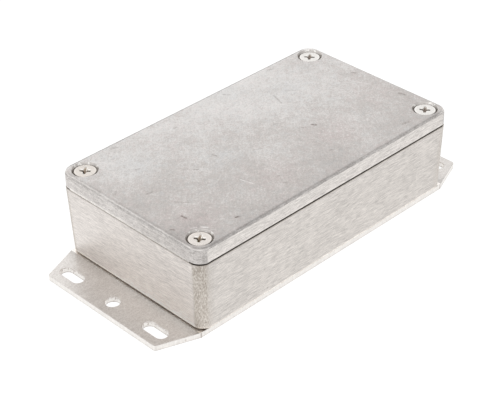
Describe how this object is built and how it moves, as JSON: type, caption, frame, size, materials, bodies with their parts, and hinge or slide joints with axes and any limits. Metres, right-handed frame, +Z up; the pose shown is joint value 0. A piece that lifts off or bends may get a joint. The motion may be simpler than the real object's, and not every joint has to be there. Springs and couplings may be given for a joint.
{
  "type": "die cast aluminium box",
  "caption": "Flat rectangular die-cast aluminium enclosure with a screwed lid on a seal and a flange plate under the base with mounting slots at both ends.",
  "frame": {"origin": "centre of the flange plate's underside, the surface the box is mounted on", "axes": "+X across the box, +Y along its length towards the rear end, +Z up out of the lid"},
  "size_m": [0.0652, 0.142, 0.0329],
  "materials": {
    "base_casting": "die-cast, linished sides, satin",
    "lid": "die-cast, tumbled top, linished sides",
    "flange_plate": "mill finish sheet, sheared edges",
    "gasket": "matt sponge rubber",
    "lid_screw": "nickel plated, satin",
    "plate_screw": "zinc plated"
  },
  "bodies": {
    "base": {"base_casting": "base_casting", "flange_plate": "flange_plate", "plate_screw_front_left": "plate_screw", "plate_screw_front_right": "plate_screw", "plate_screw_rear_left": "plate_screw", "plate_screw_rear_right": "plate_screw"},
    "lid": {"lid": "lid", "gasket": "gasket"},
    "screw_front_left": {"lid_screw_front_left": "lid_screw"},
    "screw_front_right": {"lid_screw_front_right": "lid_screw"},
    "screw_rear_left": {"lid_screw_rear_left": "lid_screw"},
    "screw_rear_right": {"lid_screw_rear_right": "lid_screw"}
  },
  "joints": [
    {"name": "lid_lift", "type": "slide", "parent": "base", "child": "lid", "axis": [0, 0, 1], "range_m": [0, 0.06]},
    {"name": "screw_front_left_out", "type": "slide", "parent": "lid", "child": "screw_front_left", "axis": [0, 0, 1], "range_m": [0, 0.016]},
    {"name": "screw_front_right_out", "type": "slide", "parent": "lid", "child": "screw_front_right", "axis": [0, 0, 1], "range_m": [0, 0.016]},
    {"name": "screw_rear_left_out", "type": "slide", "parent": "lid", "child": "screw_rear_left", "axis": [0, 0, 1], "range_m": [0, 0.016]},
    {"name": "screw_rear_right_out", "type": "slide", "parent": "lid", "child": "screw_rear_right", "axis": [0, 0, 1], "range_m": [0, 0.016]}
  ]
}
